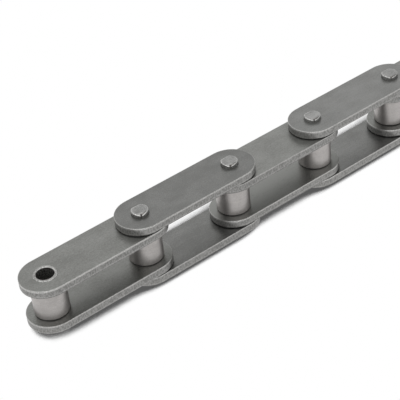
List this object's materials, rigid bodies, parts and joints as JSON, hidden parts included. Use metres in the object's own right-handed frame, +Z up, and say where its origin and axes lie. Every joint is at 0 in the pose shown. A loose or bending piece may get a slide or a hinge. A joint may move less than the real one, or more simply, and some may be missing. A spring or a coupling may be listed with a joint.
{
  "type": "double-pitch roller chain strand",
  "caption": "Strand of heavy double-pitch roller chain: straight-sided inner and outer links, free rollers and flatted pin ends, with open bushes at both ends for connecting pins.",
  "frame": {"origin": "below the middle of the strand, on the surface that it lies on", "axes": "+X along the chain, +Y across it towards the side that it leans to, where the flats on the pin ends face, +Z up; the pins lean 12.48 degrees from +Z towards +Y"},
  "size_m": [0.2774, 0.0298, 0.0368],
  "materials": {
    "inner_plate": "dull tumbled steel with a faint rolled grain and bright rounded edges",
    "outer_plate": "dull tumbled steel with a faint rolled grain and bright rounded edges",
    "bush": "ground steel, satin",
    "roller": "light satin steel, tumbled",
    "pin": "turned steel end with a bright chamfer"
  },
  "bodies": {
    "inner_link_1": {"inner_link_1_lower_plate": "inner_plate", "inner_link_1_upper_plate": "inner_plate", "inner_link_1_bush_1": "bush", "inner_link_1_bush_2": "bush"},
    "inner_link_1_roller_1": {"inner_link_1_roller_1": "roller"},
    "inner_link_1_roller_2": {"inner_link_1_roller_2": "roller"},
    "inner_link_2": {"inner_link_2_lower_plate": "inner_plate", "inner_link_2_upper_plate": "inner_plate", "inner_link_2_bush_1": "bush", "inner_link_2_bush_2": "bush"},
    "inner_link_2_roller_1": {"inner_link_2_roller_1": "roller"},
    "inner_link_2_roller_2": {"inner_link_2_roller_2": "roller"},
    "inner_link_3": {"inner_link_3_lower_plate": "inner_plate", "inner_link_3_upper_plate": "inner_plate", "inner_link_3_bush_1": "bush", "inner_link_3_bush_2": "bush"},
    "inner_link_3_roller_1": {"inner_link_3_roller_1": "roller"},
    "inner_link_3_roller_2": {"inner_link_3_roller_2": "roller"},
    "outer_link_1": {"outer_link_1_lower_plate": "outer_plate", "outer_link_1_upper_plate": "outer_plate", "outer_link_1_pin_1": "pin", "outer_link_1_pin_2": "pin"},
    "outer_link_2": {"outer_link_2_lower_plate": "outer_plate", "outer_link_2_upper_plate": "outer_plate", "outer_link_2_pin_1": "pin", "outer_link_2_pin_2": "pin"}
  },
  "joints": [
    {"name": "outer_link_1_hinge", "type": "hinge", "parent": "inner_link_2", "child": "outer_link_1", "pos_m": [-0.0254, 0, 0.01835], "axis": [0, 0.2161, 0.9764], "range_deg": [-150, 150]},
    {"name": "inner_link_1_hinge", "type": "hinge", "parent": "outer_link_1", "child": "inner_link_1", "pos_m": [-0.0762, 0, 0.01835], "axis": [0, -0.2161, -0.9764], "range_deg": [-150, 150]},
    {"name": "outer_link_2_hinge", "type": "hinge", "parent": "inner_link_2", "child": "outer_link_2", "pos_m": [0.0254, 0, 0.01835], "axis": [0, 0.2161, 0.9764], "range_deg": [-150, 150]},
    {"name": "inner_link_3_hinge", "type": "hinge", "parent": "outer_link_2", "child": "inner_link_3", "pos_m": [0.0762, 0, 0.01835], "axis": [0, -0.2161, -0.9764], "range_deg": [-150, 150]},
    {"name": "inner_link_1_roller_1_spin", "type": "hinge", "parent": "inner_link_1", "child": "inner_link_1_roller_1", "pos_m": [-0.127, 0, 0.01835], "axis": [0, 0.2161, 0.9764], "continuous": true},
    {"name": "inner_link_1_roller_2_spin", "type": "hinge", "parent": "inner_link_1", "child": "inner_link_1_roller_2", "pos_m": [-0.0762, 0, 0.01835], "axis": [0, 0.2161, 0.9764], "continuous": true},
    {"name": "inner_link_2_roller_1_spin", "type": "hinge", "parent": "inner_link_2", "child": "inner_link_2_roller_1", "pos_m": [-0.0254, 0, 0.01835], "axis": [0, 0.2161, 0.9764], "continuous": true},
    {"name": "inner_link_2_roller_2_spin", "type": "hinge", "parent": "inner_link_2", "child": "inner_link_2_roller_2", "pos_m": [0.0254, 0, 0.01835], "axis": [0, 0.2161, 0.9764], "continuous": true},
    {"name": "inner_link_3_roller_1_spin", "type": "hinge", "parent": "inner_link_3", "child": "inner_link_3_roller_1", "pos_m": [0.0762, 0, 0.01835], "axis": [0, 0.2161, 0.9764], "continuous": true},
    {"name": "inner_link_3_roller_2_spin", "type": "hinge", "parent": "inner_link_3", "child": "inner_link_3_roller_2", "pos_m": [0.127, 0, 0.01835], "axis": [0, 0.2161, 0.9764], "continuous": true}
  ]
}
